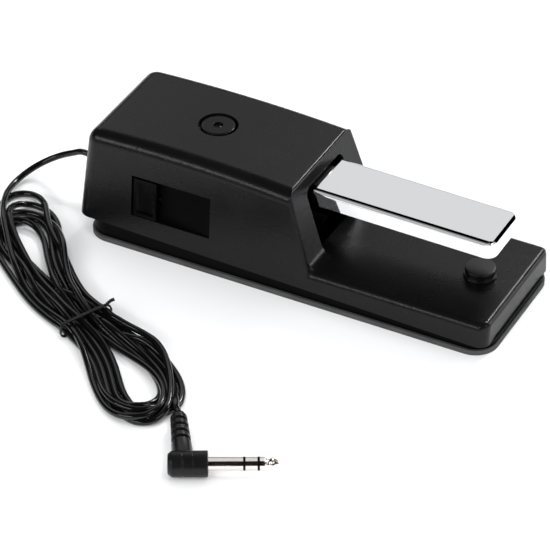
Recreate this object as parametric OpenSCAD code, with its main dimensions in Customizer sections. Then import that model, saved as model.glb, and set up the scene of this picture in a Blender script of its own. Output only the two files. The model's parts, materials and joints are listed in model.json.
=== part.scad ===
// Sustain pedal with a chromed lever, a side mode switch and a tied cord.
// +X points to the foot end, the mode switch is on the -Y side, z = 0 is the floor.

/* [Base] */
// Length of the rubber sole
base_l = 216; // [210:1:222]
// Width of the rubber sole
base_w = 75; // [74:0.5:78]
// Plan radius of the sole's corners
corner_r = 12; // [9:1:14]
// Thickness of the rubber sole
sole_t = 2.5; // [2:0.1:2.5]
// Wall thickness of the mouldings
wall = 2.5; // [2:0.1:2.6]

/* [Housing] */
// Height of the tower's crown above the floor
crown_z = 59.6; // [59.4:0.1:61]
// Radius of the arched top
arch_r = 790; // [740:10:840]
// Edge radius along the top
edge_r = 6.5; // [5:0.5:7]
// Height of the foot tray above the floor
tray_z = 17.7; // [17.4:0.1:17.9]
// Height of the seam at the front end
seam_front = 5.3; // [5:0.1:5.6]
// Height of the seam at the rear end
seam_rear = 11; // [10:0.1:11.4]

/* [Pedal] */
// Width of the chromed plate
plate_w = 30.4; // [29:0.2:31]
// Height of the plate's top before its rest tilt
plate_top = 51.5; // [51.2:0.1:51.5]
// X position of the plate's toe
toe_x = 100; // [98:0.5:103]
// Downward tilt of the lever at rest
rest_tilt = 0.9; // [0.5:0.1:1]

/* [Cord] */
// Diameter of the cord
cord_d = 3.2; // [3:0.1:3.4]

/* [Hidden] */
$fn = 48;
eps = 0.01;

// Running clearance and the slack of a screw in its hole
run = 0.05;
slack = 0.02;

// Housing plan, draft and faces
rear_x = -111.2;
end_x = base_l / 2 - 0.5;
tier_x = 1;
house_half = base_w / 2 - 0.3;
shoulder = house_half - 4.94;
house_r = 6.5;
draft = 5.2;
crown_x = -64.6;
rear_top_z = 58.8;
rear_lean = 5;
front_foot_x = 14.6;
front_lean = 17;
foot_r = 3.5;
tray_r = 3.9;
toe_r = 2.6;
cover_l = base_l - 3;
cover_w = base_w - 2.6;
cover_r = 8.5;
slot_w = 37.6;
slot_top = 50.6;
slot_corner_r = 4;
ledge_x = -2;

// Screws that close the base, from below
house_screw_xy = [[-95, -27], [-95, 27], [22, -28], [22, 28], [93, -26], [93, 26]];
boss_z = 7.5;
screw_r = 1.48;
hole_r = screw_r + slack;

// Hinge, bracket and lever
pivot = [-80, 0, 40];
shaft_r = 2.98;
bush_r = 5;
cheek_y = 14;
plate_t = 2;
bracket_z = 9;
cheek_x = [-88, -24];
bridge_x = [-66, -38];
bridge_z = 51;
bracket_screw_xy = [[-82, -9], [-82, 9], [-28, -9], [-28, 9]];
notch_x = [-61, -55];
arm_w = 18;
arm_top = plate_top - plate_t;
skirt_z = plate_top - 8.8;
plate_rear_x = 6;
plate_screw_x = 16;
plate_screw_y = [-4.5, 4.5];
toe_corner_r = 5.5;
spring_x = -12;
spring_seat = bracket_z + plate_t + 1.4;
spring_top_z = 44.8;
clip_y = cheek_y + plate_t + 1.15;

// Cap on top
cap_x = -52;
cap_r = 8.3;
cap_seat_z = 55.3;
cap_top_z = 59.4;

// Gears: module 1
sector_teeth = 72;
pinion_teeth = 12;
tooth_fill = 0.86;
sector_screw_xz = [[-64, 37], [-69, 34.5]];
gear_y = 9.2;
gear_t = 3;
mesh_angle = 25;
pot_at = [
    pivot.x + (sector_teeth + pinion_teeth) / 2 * cos(mesh_angle), 0,
    pivot.z - (sector_teeth + pinion_teeth) / 2 * sin(mesh_angle)
];

// Side switch: face angle and places
panel_x = [-81, -38.3];
panel_z = [19.6, 41.6];
panel_mid_z = (panel_z[0] + panel_z[1]) / 2;
panel_deep = 3.4;
panel_shallow = 0.8;
knob_x = [-79.7, -67.3];
knob_travel = 4;
stem_mid = (knob_x[0] + knob_x[1]) / 2;
stem_x = [stem_mid - 3, stem_mid + 3];
switch_mid = stem_mid + knob_travel / 2;
board_y = -24;
board_t = 1.6;
board_screw_xz = [[-86.5, 38], [-53.5, 21]];

// Bumper and cord entry
bumper_x = 87.5;
bumper_top = 22.7;
entry_z = 19;
grommet_tip = -121;
clamp_x = [-102, -96];

// Plug place: shoulder of the shaft, and its heading on the floor
plug_at = [32.7, -168.4, 6];
plug_heading = 27.8;
plug_r = 3.175;
sleeve_l = 15.5;
ring_x = [16.6, 21.9];
boot_lean = 4.7;
boot_l = 29;
boot_from = 11;

// Route of the cord from the grommet down to the hank
lead_route = [
    [-121, 0, 19], [-128, 0, 18.6], [-135, 0.6, 17.4], [-142, 0.8, 15.2],
    [-148, -0.6, 12.4], [-153.5, -3.8, 9], [-158, -8.8, 5.8], [-160.5, -15, 3.2],
    [-160, -21.5, 1.9], [-157.5, -27.5, 1.7], [-154, -33, 1.7]
];
// Route of the cord from the hank to the plug's boot
tail_route = [[-8, -129.5, 2], [-4, -134, 2.8], [0.5, -139.4, 4.6], [5.2, -144.4, 6]];
// Route of the jacketed end inside the housing
inner_route = [
    [-121, 0, 19], [-104, 0, 19], [-96, 0, 19], [-93, -1.6, 19.2], [-91.4, -5.4, 19.6],
    [-91.2, -10, 20.2], [-91, -15, 21], [-88.4, -19, 22], [-83, -20.2, 22], [-76, -20.2, 22]
];
// Route of the sensor leads across the bracket
leads_route = [
    [-66, -20.1, 20], [-62.5, -20.1, 19], [-59.6, -19.8, 16.4], [-58.2, -18.4, 13.6],
    [-58, -15, 12.5], [-58, -7, 12.4], [-58, 7, 12.4], [-58, 15, 12.5],
    [-56.8, 19, 11.8], [-53, 21, 11.2], [-45, 21.2, 11]
];

// Hank: rear and front lobes, and its waist
lobe_rear = [[-138, -33], [-88, -83]];
lobe_front = [[-50, -114], [-27, -131]];
lobe_rear_r = 17;
lobe_front_r = 20;
hank_h = 9;
waist_at = [-69, -101];
waist_heading = -41;
waist_w = 27;
waist_l = 36;
waist_top = hank_h - 0.4;
tie_t = 1.4;
tie_w = 1.6;

// ---- Helpers ----

function arc(c, r, a0, a1, n) =
    [for (i = [0:n]) c + r * [cos(a0 + (a1 - a0) * i / n), sin(a0 + (a1 - a0) * i / n)]];

function seam_z(x) = seam_front + (seam_rear - seam_front) * (base_l / 2 - x) / base_l;

// Front face of the tower at height z, and half width of the housing there
function front_x(z) = front_foot_x - (z - tray_z) * tan(front_lean);
function side_y(z) = house_half - (z - seam_front) * tan(draft);

function unit(v) = v / norm(v);

function tangent(p, i) =
    unit(p[min(i + 1, len(p) - 1)] - p[max(i - 1, 0)]);

// Tube of radius r along the points p, with a level cross bar in every ring
module tube(p, r, sides = 8) {
    rings = [
        for (i = [0:len(p) - 1])
            let (t = tangent(p, i), s = unit(cross(t, [0, 0, 1])), u = cross(s, t))
                for (k = [0:sides - 1])
                    p[i] + r * (cos(360 * k / sides) * s + sin(360 * k / sides) * u)
    ];
    last = len(p) - 1;
    polyhedron(
        points = rings,
        faces = concat(
            [[for (k = [0:sides - 1]) k]],
            [[for (k = [sides - 1:-1:0]) last * sides + k]],
            [
                for (i = [0:last - 1], k = [0:sides - 1], upper = [false, true])
                    let (a = i * sides + k, b = i * sides + (k + 1) % sides)
                        upper ? [a, b + sides, b] : [a, a + sides, b + sides]
            ]
        )
    );
}

module round_rect(l, w, r) {
    square([l - 2 * r, w], center = true);
    square([l, w - 2 * r], center = true);
    for (sx = [-1, 1], sy = [-1, 1])
        translate([sx * (l / 2 - r), sy * (w / 2 - r)]) circle(r);
}

// Extrudes an outline drawn in X and Z by w along Y, centred
module along_y(w) {
    translate([0, w / 2, 0]) rotate([90, 0, 0]) linear_extrude(w) children();
}

// Extrudes an outline drawn in Y and Z from x0 to x1
module along_x(x0, x1) {
    translate([x0, 0, 0]) rotate([90, 0, 90]) linear_extrude(x1 - x0) children();
}

// Cylinder along Y from y0 to y1, at at.x and at.z
module rod_y(at, r, y0, y1) {
    translate([at.x, y1, at.z]) rotate([90, 0, 0]) cylinder(h = y1 - y0, r = r);
}

module rod_z(x, y, r, z0, z1) {
    translate([x, y, z0]) cylinder(h = z1 - z0, r = r);
}

module box(x, y, z) {
    translate([x[0], y[0], z[0]]) cube([x[1] - x[0], y[1] - y[0], z[1] - z[0]]);
}

// Turns the lever's own pieces to their rest tilt about the hinge
module at_rest() {
    translate(pivot) rotate([0, rest_tilt, 0]) translate(-pivot) children();
}

// Round-ended bar of radius r from p to q
module bar_2d(p, q, r) {
    a = atan2(q.y - p.y, q.x - p.x);
    polygon(concat(arc(p, r, a + 90, a + 270, 15), arc(q, r, a - 90, a + 90, 15)));
}

// ---- Housing ----

// Drafted, round-shouldered section: first value counts up to top, second is Y
function bell(top, deep, side, r) =
    let (
        c = [top - r, side + r * tan(draft) - r / cos(draft)],
        h = concat([[top - deep, side + deep * tan(draft)]], arc(c, r, 90 - draft, 0, 8))
    )
        concat(h, [for (i = [len(h) - 1:-1:0]) [h[i].x, -h[i].y]]);

function swapped(p) = [for (q = p) [q.y, q.x]];

// Arched block that gives the tower its crown, sides and long top edges
module arched_block(t) {
    translate([crown_x, 0, crown_z - arch_r]) rotate([90, 0, 0]) rotate([0, 0, 83])
        rotate_extrude(angle = 11, $fn = 720)
            polygon(bell(arch_r - t, 62, shoulder - t, edge_r - t));
}

// Side outline of the tower, inset by t
module tower_outline(t) {
    rear = rear_x + t;
    corner_z = rear_top_z - edge_r;
    lean = (corner_z - seam_rear) * tan(rear_lean);
    corner = [rear_x + lean + edge_r, corner_z];
    shift = t / cos(front_lean);
    polygon(concat(
        [[front_x(0) - shift, 0], [rear, 0], [rear, seam_rear]],
        arc(corner, edge_r - t, 180, 90, 6),
        [[corner.x, 70], [front_x(70) - shift, 70]]
    ));
}

module plan(t) {
    translate([(rear_x + end_x) / 2, 0, 0]) linear_extrude(70)
        round_rect(end_x - rear_x - 2 * t, 2 * house_half - 2 * t, house_r - t);
}

module tower(t) {
    intersection() {
        arched_block(t);
        along_y(base_w + 10) tower_outline(t);
        plan(t);
    }
}

// Low foot end of the housing, inset by t
module tray(t) {
    end = end_x - t;
    top = tray_z - t;
    intersection() {
        along_x(ledge_x, end)
            polygon(swapped(bell(top, top, side_y(tray_z) - t, tray_r - t)));
        along_y(base_w + 10) polygon(concat(
            [[ledge_x, 0], [end, 0]],
            arc([end - toe_r + t / 2, top - toe_r + t / 2], toe_r - t / 2, 0, 90, 5),
            [[ledge_x, top]]
        ));
        plan(t);
    }
}

// Concave fillet where the tower's front face meets the tray
module foot_fillet() {
    reach = foot_r * tan(45 - front_lean / 2);
    foot = [front_x(tray_z), tray_z];
    along_y(2 * shoulder - edge_r) polygon(concat(
        [foot - [1, 1]],
        arc(foot + [reach, foot_r], foot_r, 180 + front_lean, 270, 6),
        [foot + [reach, -1]]
    ));
}

// Everything below the slanted seam
module below_seam() {
    far = base_l;
    along_y(base_w + 20)
        polygon([[-far, -5], [far, -5], [far, seam_z(far)], [-far, seam_z(-far)]]);
}

module housing_cavity() {
    difference() {
        tower(wall);
        box([ledge_x, 60], [-50, 50], [-1, tray_z]);
    }
    intersection() {
        tray(wall);
        box([ledge_x - 1, end_x], [-50, 50], [-1, tray_z - wall]);
    }
}

// Slot in the front face that the pedal comes out of
module pedal_slot() {
    up = slot_top - slot_corner_r;
    along_x(ledge_x, 30) union() {
        translate([-slot_w / 2, tray_z]) square([slot_w, up - tray_z]);
        translate([-slot_w / 2 + slot_corner_r, tray_z])
            square([slot_w - 2 * slot_corner_r, slot_top - tray_z]);
        for (s = [-1, 1])
            translate([s * (slot_w / 2 - slot_corner_r), up]) circle(slot_corner_r);
    }
}

// Places its children on the drafted face of the switch side: outside is -Y
module on_panel() {
    translate([0, -side_y(panel_mid_z), panel_mid_z]) rotate([-draft, 0, 0]) children();
}

// Recess that is deep at the knob and runs out towards the foot end
module panel_recess() {
    half = (panel_z[1] - panel_z[0]) / 2;
    on_panel() translate([0, 0, -half]) linear_extrude(2 * half) polygon([
        [panel_x[0], -9], [panel_x[0], panel_deep], [knob_x[1] + knob_travel, panel_deep],
        [panel_x[1], panel_shallow], [panel_x[1], -9]
    ]);
}

// Ledge that closes the overhang of the rear wall over the cover
module rear_lip() {
    difference() {
        box([rear_x, -95], [-50, 50], [5, seam_rear + 2.2]);
        below_seam();
        linear_extrude(20) cover_inside();
    }
}

module cover_inside() {
    translate([tier_x, 0]) round_rect(cover_l - 2 * wall, cover_w - 2 * wall, cover_r - wall);
}

module upper_housing() {
    color([0.09, 0.09, 0.095]) difference() {
        union() {
            difference() {
                union() {
                    tower(0);
                    tray(0);
                    foot_fillet();
                }
                housing_cavity();
                below_seam();
            }
            intersection() {
                tower(1);
                union() {
                    for (p = house_screw_xy)
                        if (p.x < 0) rod_z(p.x, p.y, 3.5, boss_z, 58);
                    box([-84, -35], [-40, -29.6], [seam_rear + 1, panel_z[1] + 2]);
                    for (p = board_screw_xz)
                        rod_y([p.x, 0, p.y], 3, -40, board_y);
                    rod_z(cap_x, 0, 11, bridge_z + plate_t, 58.5);
                    rear_lip();
                }
            }
            for (p = house_screw_xy)
                if (p.x > 0) rod_z(p.x, p.y, 3.5, boss_z, tray_z - 1);
        }
        for (p = house_screw_xy)
            rod_z(p.x, p.y, hole_r, boss_z - 1, 15.7);
        pedal_slot();
        panel_recess();
        on_panel()
            box([stem_x[0] - 0.2, stem_x[1] + knob_travel + 0.2], [0, 12], [-2.8, 2.8]);
        for (p = board_screw_xz)
            rod_y([p.x, 0, p.y], 1.2, -31, board_y + 1);
        rod_z(cap_x, 0, cap_r + 1.3, cap_seat_z, 65);
        rod_z(cap_x, 0, 1.7, 50, 60);
        rod_z(bumper_x, 0, 3.05, 10, 20);
        translate([-120, 0, entry_z]) rotate([0, 90, 0]) cylinder(h = 20, r = 4);
    }
}

module bottom_cover() {
    floor_z = sole_t + 2.2;
    color([0.05, 0.05, 0.05]) difference() {
        union() {
            difference() {
                intersection() {
                    translate([tier_x, 0, sole_t]) linear_extrude(20)
                        round_rect(cover_l, cover_w, cover_r);
                    below_seam();
                }
                translate([0, 0, floor_z]) linear_extrude(20) cover_inside();
            }
            for (p = house_screw_xy)
                rod_z(p.x, p.y, 4.5, sole_t, boss_z);
            for (p = bracket_screw_xy)
                rod_z(p.x, p.y, 4, sole_t, bracket_z);
            box(clamp_x, [-9, 9], [sole_t, entry_z - cord_d / 2 - run]);
        }
        for (p = house_screw_xy) {
            rod_z(p.x, p.y, 1.7, sole_t, boss_z + 1);
            rod_z(p.x, p.y, 3.1, sole_t - 1, sole_t + 2.5);
        }
        for (p = bracket_screw_xy)
            rod_z(p.x, p.y, hole_r, sole_t + 1.2, bracket_z + 1);
        for (y = [-6, 6])
            rod_z((clamp_x[0] + clamp_x[1]) / 2, y, hole_r, 9, 20);
    }
}

module rubber_sole() {
    color([0.16, 0.16, 0.16]) difference() {
        linear_extrude(sole_t) translate([tier_x, 0]) round_rect(base_l, base_w, corner_r);
        for (p = house_screw_xy)
            rod_z(p.x, p.y, 3.6, -1, sole_t + 1);
    }
}

module housing_screws() {
    head_z = sole_t + 2.5;
    color("silver") for (p = house_screw_xy) difference() {
        union() {
            rod_z(p.x, p.y, screw_r, head_z - 1, 15);
            rod_z(p.x, p.y, 2.8, head_z - 2, head_z);
        }
        for (a = [0, 90])
            translate([p.x, p.y, head_z - 2]) rotate(a) cube([3.4, 0.7, 1.8], center = true);
    }
}

// ---- Frame bracket, hinge and lever ----

module frame_bracket() {
    color([0.6, 0.6, 0.62]) difference() {
        union() {
            box([cheek_x[0], -2], [-18, 18], [bracket_z, bracket_z + plate_t]);
            for (y = [-cheek_y - plate_t / 2, cheek_y + plate_t / 2])
                translate([0, y, 0]) along_y(plate_t) polygon([
                    [cheek_x[0], bracket_z], [cheek_x[0], 46], [cheek_x[0] + 7, 53],
                    [bridge_x[1], 53], [cheek_x[1], 36], [cheek_x[1], bracket_z]
                ]);
            box(bridge_x, [-cheek_y - plate_t, cheek_y + plate_t], [bridge_z, bridge_z + plate_t]);
        }
        rod_y(pivot, bush_r + slack, -30, 30);
        rod_y(pot_at, 3.55, 0, 30);
        for (p = bracket_screw_xy)
            rod_z(p.x, p.y, 1.7, 0, 20);
        rod_z(cap_x, 0, hole_r, 45, 60);
        box(notch_x, [-30, 30], [bracket_z + plate_t, bracket_z + plate_t + 3.6]);
    }
}

module bracket_screws() {
    top = bracket_z + plate_t;
    color("silver") for (p = bracket_screw_xy) {
        rod_z(p.x, p.y, screw_r, sole_t + 1.4, top);
        rod_z(p.x, p.y, 2.8, top, top + 1.8);
    }
}

module pivot_bushes() {
    color("ivory") for (s = [0, 1]) mirror([0, s, 0]) difference() {
        union() {
            rod_y(pivot, bush_r, cheek_y - 0.1, cheek_y + plate_t);
            rod_y(pivot, 6.5, cheek_y + plate_t, cheek_y + plate_t + 1);
        }
        rod_y(pivot, shaft_r + run, 0, 30);
    }
}

module pivot_shaft() {
    color("silver") difference() {
        rod_y(pivot, shaft_r, -clip_y - 1.6, clip_y + 1.6);
        for (s = [0, 1]) mirror([0, s, 0]) difference() {
            rod_y(pivot, 5, clip_y - 0.05, clip_y + 0.75);
            rod_y(pivot, 2.4, clip_y - 1, clip_y + 2);
        }
    }
}

module shaft_clips() {
    color("dimgray") for (s = [0, 1]) mirror([0, s, 0]) difference() {
        rod_y(pivot, 4.6, clip_y, clip_y + 0.7);
        rod_y(pivot, 2.42, clip_y - 1, clip_y + 2);
        translate([pivot.x - 1.7, clip_y - 1, pivot.z - 8]) cube([3.4, 3, 8]);
    }
}

module up_stop_pad() {
    color([0.55, 0.1, 0.1]) difference() {
        box([cap_x - 6, cap_x + 6], [-8, 8], [arm_top - 0.3, bridge_z]);
        rod_z(cap_x, 0, 2.5, 40, 60);
    }
}

// Inverted channel from the hinge to the toe, with a closed strike pad
module pedal_arm() {
    half = arm_w / 2;
    low = skirt_z - 1.2;
    color([0.25, 0.25, 0.27]) difference() {
        at_rest() difference() {
            union() {
                box([cheek_x[0], 95], [-half, half], [arm_top - plate_t, arm_top]);
                for (s = [-1, 1])
                    translate([0, s * (half - plate_t / 2), 0]) along_y(plate_t) polygon([
                        [cheek_x[0], arm_top - plate_t], [cheek_x[0], 36], [-84, 32],
                        [-58, 32], [-42, low], [95, low], [95, arm_top - plate_t]
                    ]);
                box([bumper_x - 12, 95], [-half, half], [low, low + plate_t]);
            }
            rod_y(pivot, shaft_r + slack, -20, 20);
            for (y = plate_screw_y)
                rod_z(plate_screw_x, y, 1.7, 40, 60);
        }
        for (p = sector_screw_xz)
            rod_y([p.x, 0, p.y], 1.25, 0, 20);
    }
}

// Chromed cover of the lever: rounded edges, skirts on both sides and the toe
module plate_form(t) {
    r = 2.8 - t / 3;
    end = toe_x - t;
    top = plate_top - t;
    half = plate_w / 2 - t;
    intersection() {
        along_x(plate_rear_x - 1, end + 1) polygon(concat(
            [[-half, skirt_z - 1]], arc([-half + r, top - r], r, 180, 90, 5),
            arc([half - r, top - r], r, 90, 0, 5), [[half, skirt_z - 1]]
        ));
        along_y(plate_w + 2) polygon(concat(
            [[end, skirt_z - 1]], arc([end - r, top - r], r, 0, 90, 5),
            [[plate_rear_x - 1, top], [plate_rear_x - 1, skirt_z - 1]]
        ));
        translate([0, 0, skirt_z - 2]) linear_extrude(20) difference() {
            translate([plate_rear_x - 20, -half]) square([end - plate_rear_x + 20, 2 * half]);
            for (s = [-1, 1])
                translate([end - toe_corner_r + t, s * (half - toe_corner_r + t)]) difference() {
                    translate([0, s > 0 ? 0 : -9]) square(9);
                    circle(toe_corner_r - t);
                }
        }
    }
}

module pedal_plate() {
    color([0.85, 0.85, 0.87]) at_rest() difference() {
        plate_form(0);
        plate_form(plate_t);
        box([plate_rear_x - 30, toe_x + 5], [-20, 20], [skirt_z - 10, skirt_z]);
        box([plate_rear_x - 30, plate_rear_x], [-20, 20], [skirt_z - 10, 60]);
        for (y = plate_screw_y)
            rod_z(plate_screw_x, y, 1.6 + slack, 40, plate_top - 0.6);
    }
}

// Studs set in the underside of the plate, with nuts below the arm
module plate_screws() {
    color("silver") at_rest() for (y = plate_screw_y) {
        rod_z(plate_screw_x, y, 1.6, arm_top - 5, plate_top - 0.6);
        difference() {
            rod_z(plate_screw_x, y, 2.4, arm_top - plate_t - 2, arm_top - plate_t);
            rod_z(plate_screw_x, y, 1.62, 30, 60);
        }
    }
}

module spring_cup_lower() {
    color("ivory") {
        rod_z(spring_x, 0, 7, bracket_z + plate_t, spring_seat);
        rod_z(spring_x, 0, 3.6, spring_seat - 0.5, spring_seat + 6);
    }
}

module spring_cup_upper() {
    top = arm_top - plate_t;
    color("ivory") at_rest() {
        rod_z(spring_x, 0, 6.8, top - 1.4, top);
        rod_z(spring_x, 0, 3.6, top - 7, top - 1);
    }
}

module return_spring() {
    turns = 6;
    steps = 11;
    wire_r = 0.6;
    low = spring_seat + wire_r + 0.1;
    rise = spring_top_z - wire_r - low;
    color([0.7, 0.7, 0.72]) tube([
        for (i = [0:turns * steps])
            [spring_x + 5 * cos(360 * i / steps), 5 * sin(360 * i / steps),
                low + rise * i / (turns * steps)]
    ], wire_r, 6);
}

module pedal_bumper() {
    color([0.03, 0.03, 0.03]) translate([bumper_x, 0, 0]) rotate_extrude() polygon(concat(
        [[0, 12.2], [2.98, 12.2], [2.98, tray_z], [8, tray_z], [8, tray_z + 1.1],
            [7.7, tray_z + 1.4], [7, tray_z + 1.5], [7, tray_z + 2], [7.4, tray_z + 2.2]],
        arc([6.4, bumper_top - 1], 1, 0, 90, 4),
        [[0, bumper_top]]
    ));
}

module bumper_clip() {
    color("silver") difference() {
        rod_z(bumper_x, 0, 6, tray_z - wall - 0.8, tray_z - wall);
        rod_z(bumper_x, 0, 3, 0, 30);
    }
}

// ---- Gears and rotary sensor ----

// Half of a tooth's angle at radius r, on a gear of n teeth and module 1
function involute(a) = tan(a) * 180 / PI - a;
function half_tooth(n, r) =
    let (base = n / 2 * cos(20))
        90 / n * tooth_fill + involute(20) - (r > base ? involute(acos(base / r)) : 0);

function polar(r, a) = [r * cos(a), r * sin(a)];

// One tooth of a gear of n teeth, centred on angle a
module tooth(n, a, addendum) {
    radii = [for (k = [0:5]) n / 2 - 1.3 + k * (1.3 + addendum) / 5];
    polygon(concat(
        [polar(n / 2 - 2.2, a - half_tooth(n, radii[0]))],
        [for (r = radii) polar(r, a - half_tooth(n, r))],
        [for (i = [5:-1:0]) polar(radii[i], a + half_tooth(n, radii[i]))],
        [polar(n / 2 - 2.2, a + half_tooth(n, radii[0]))]
    ));
}

// Sector on the lever: it is in mesh with the pinion at rest
module sector_gear() {
    root = sector_teeth / 2 - 1.3;
    pitch = 360 / sector_teeth;
    color("ivory") translate([0, gear_y + gear_t / 2, 0]) difference() {
        along_y(gear_t) translate([pivot.x, pivot.z]) {
            circle(8);
            polygon(concat([[0, 0]], arc([0, 0], root, -mesh_angle - 17, -mesh_angle + 22, 12)));
            for (k = [-3:4])
                tooth(sector_teeth, -mesh_angle + k * pitch, 0.8);
        }
        rod_y(pivot, shaft_r + slack, -5, 5);
        for (p = sector_screw_xz)
            rod_y([p.x, 0, p.y], 1.25, -5, 5);
    }
}

module sector_screws() {
    outer = gear_y + gear_t;
    color("silver") for (p = sector_screw_xz) {
        rod_y([p.x, 0, p.y], 1.2, arm_w / 2 - plate_t - 1, outer);
        rod_y([p.x, 0, p.y], 2.2, outer, outer + 1.2);
    }
}

module pot_pinion() {
    color("ivory") translate([0, gear_y + gear_t / 2, 0]) difference() {
        along_y(gear_t) translate([pot_at.x, pot_at.z]) {
            circle(pinion_teeth / 2 - 1.3);
            for (k = [0:pinion_teeth - 1])
                tooth(pinion_teeth, 180 - mesh_angle + (k + 0.5) * 360 / pinion_teeth, 0.8);
        }
        rod_y(pot_at, shaft_r + slack, -5, 5);
    }
}

module pot_shaft() {
    color("silver") rod_y(pot_at, shaft_r, gear_y - 0.8, cheek_y + 5);
}

module pot_body() {
    outer = cheek_y + plate_t;
    color([0.2, 0.25, 0.3]) difference() {
        union() {
            rod_y(pot_at, 8.5, outer, outer + 8.5);
            rod_y(pot_at, 3.5, gear_y + gear_t + 0.3, outer + 1);
            for (dx = [-3, 0, 3])
                box([pot_at.x + dx - 0.6, pot_at.x + dx + 0.6], [20.6, 21.4], [10.6, 15]);
            box([pot_at.x - 4.5, pot_at.x + 4.5], [19.6, 22.4], [12.6, 16]);
        }
        rod_y(pot_at, shaft_r + run, 0, outer + 3.2);
    }
}

module pot_nut() {
    color("silver") difference() {
        translate([pot_at.x, cheek_y, pot_at.z]) rotate([90, 0, 0])
            cylinder(h = 1.4, r = 5.8, $fn = 6);
        rod_y(pot_at, 3.52, 0, 30);
    }
}

// ---- Side switch and wiring board ----

module circuit_board() {
    color([0.1, 0.35, 0.15]) difference() {
        box([-90, -50], [board_y, board_y + board_t], [16, 43]);
        for (p = board_screw_xz)
            rod_y([p.x, 0, p.y], 1.5, board_y - 1, board_y + 3);
    }
}

module board_screws() {
    inner = board_y + board_t;
    color("silver") for (p = board_screw_xz) {
        rod_y([p.x, 0, p.y], 1.18, -30, inner);
        rod_y([p.x, 0, p.y], 2.2, inner, inner + 1.3);
    }
}

module board_connector() {
    color("ivory") box([-76, -66], [board_y + board_t, -17.9], [18, 25]);
}

module switch_body() {
    color([0.3, 0.3, 0.32]) difference() {
        box([switch_mid - 8.5, switch_mid + 8.5], [-28.6, board_y],
            [panel_mid_z - 4, panel_mid_z + 4]);
        box([switch_mid - 3.6, switch_mid + 3.6], [-40, -25.4],
            [panel_mid_z - 1.4, panel_mid_z + 1.4]);
    }
}

// Sliding post of the switch, held in a pocket of the knob's stem
module switch_slider() {
    color("ivory")
        box([stem_mid - 1.4, stem_mid + 1.4], [-30.8, -25.6],
            [panel_mid_z - 1.2, panel_mid_z + 1.2]);
}

// Knob with a raised rim round a scooped face
module switch_knob() {
    half = (panel_z[1] - panel_z[0]) / 2 - 0.8;
    inner = panel_deep - 0.15;
    color([0.07, 0.07, 0.075]) difference() {
        on_panel() difference() {
            union() {
                box(knob_x, [-0.4, inner], [-half, half]);
                box(stem_x, [inner - 0.5, 5.8], [-2.5, 2.5]);
            }
            translate([stem_mid + 1.2, -6.2, -half + 1.6])
                cylinder(h = 2 * half - 3.2, r = 7.6);
        }
        box([stem_mid - 1.45, stem_mid + 1.45], [-30.9, -25],
            [panel_mid_z - 1.25, panel_mid_z + 1.25]);
    }
}

// ---- Cap on top ----

module top_cap() {
    color([0.1, 0.1, 0.105]) difference() {
        rod_z(cap_x, 0, cap_r, cap_seat_z, cap_top_z);
        rod_z(cap_x, 0, 1.7, 50, 65);
        rod_z(cap_x, 0, 2.1, cap_top_z - 2, 65);
    }
}

module top_cap_screw() {
    color("dimgray") difference() {
        union() {
            rod_z(cap_x, 0, screw_r, bridge_z - 0.8, cap_top_z - 1.5);
            rod_z(cap_x, 0, 2, cap_top_z - 2, cap_top_z - 0.5);
        }
        for (a = [45, 135])
            translate([cap_x, 0, cap_top_z - 0.5]) rotate(a) cube([3, 0.6, 1.4], center = true);
    }
}

// ---- Cord ----

module spin_x(profile) {
    rotate([0, 90, 0]) rotate_extrude() polygon(profile);
}

module cord_grommet() {
    reach = rear_x + 0.15 - grommet_tip;
    color([0.04, 0.04, 0.04]) translate([grommet_tip, 0, entry_z]) difference() {
        spin_x([
            [0, 0], [2.6, 0], [4, reach - 1.4], [5.5, reach - 1.2], [5.5, reach],
            [3.97, reach], [3.97, reach + 3.6], [5.5, reach + 3.6], [5.5, reach + 4.9],
            [0, reach + 4.9]
        ]);
        translate([-1, 0, 0]) rotate([0, 90, 0]) cylinder(h = 30, r = cord_d / 2 + slack);
    }
}

module inner_cord() {
    color([0.03, 0.03, 0.03]) tube(inner_route, cord_d / 2);
}

module cord_clamp() {
    low = entry_z - cord_d / 2 - run;
    color([0.7, 0.7, 0.7]) difference() {
        box(clamp_x, [-9, 9], [low, entry_z + 3.6]);
        box([clamp_x[0] - 1, clamp_x[1] + 1], [-1.7, 1.7], [low - 1, entry_z + cord_d / 2 + run]);
        for (y = [-6, 6])
            rod_z((clamp_x[0] + clamp_x[1]) / 2, y, 1.7, 0, 40);
    }
}

module clamp_screws() {
    top = entry_z + 3.6;
    color("silver") for (y = [-6, 6]) {
        rod_z((clamp_x[0] + clamp_x[1]) / 2, y, screw_r, 9.5, top);
        rod_z((clamp_x[0] + clamp_x[1]) / 2, y, 2.6, top, top + 1.6);
    }
}

module pot_leads() {
    color([0.5, 0.1, 0.1]) tube(leads_route, 1, 6);
}

module cord_lead() {
    color([0.02, 0.02, 0.02]) tube(lead_route, cord_d / 2);
}

module cord_tail() {
    color([0.02, 0.02, 0.02]) tube(tail_route, cord_d / 2);
}

module at_waist() {
    translate([waist_at.x, waist_at.y, 0]) rotate(waist_heading) children();
}

module cord_hank() {
    color([0.02, 0.02, 0.02]) {
        linear_extrude(hank_h) {
            bar_2d(lobe_rear[0], lobe_rear[1], lobe_rear_r);
            bar_2d(lobe_front[0], lobe_front[1], lobe_front_r);
        }
        at_waist()
            box([-waist_l / 2, waist_l / 2], [-waist_w / 2, waist_w / 2], [tie_t + run, waist_top]);
    }
}

module hank_tie() {
    out = waist_w / 2 + run + tie_t;
    color([0.05, 0.05, 0.05]) at_waist() {
        difference() {
            box([-tie_w / 2, tie_w / 2], [-out, out], [0, waist_top + run + tie_t]);
            box([-tie_w, tie_w], [-out + tie_t, out - tie_t], [tie_t, waist_top + run]);
        }
        translate([0, out - 1.5, waist_top + run + 0.5]) rotate([-50, 0, 15])
            cylinder(h = 6, r = 0.8);
    }
}

module at_plug() {
    translate(plug_at) rotate(plug_heading) children();
}

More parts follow.
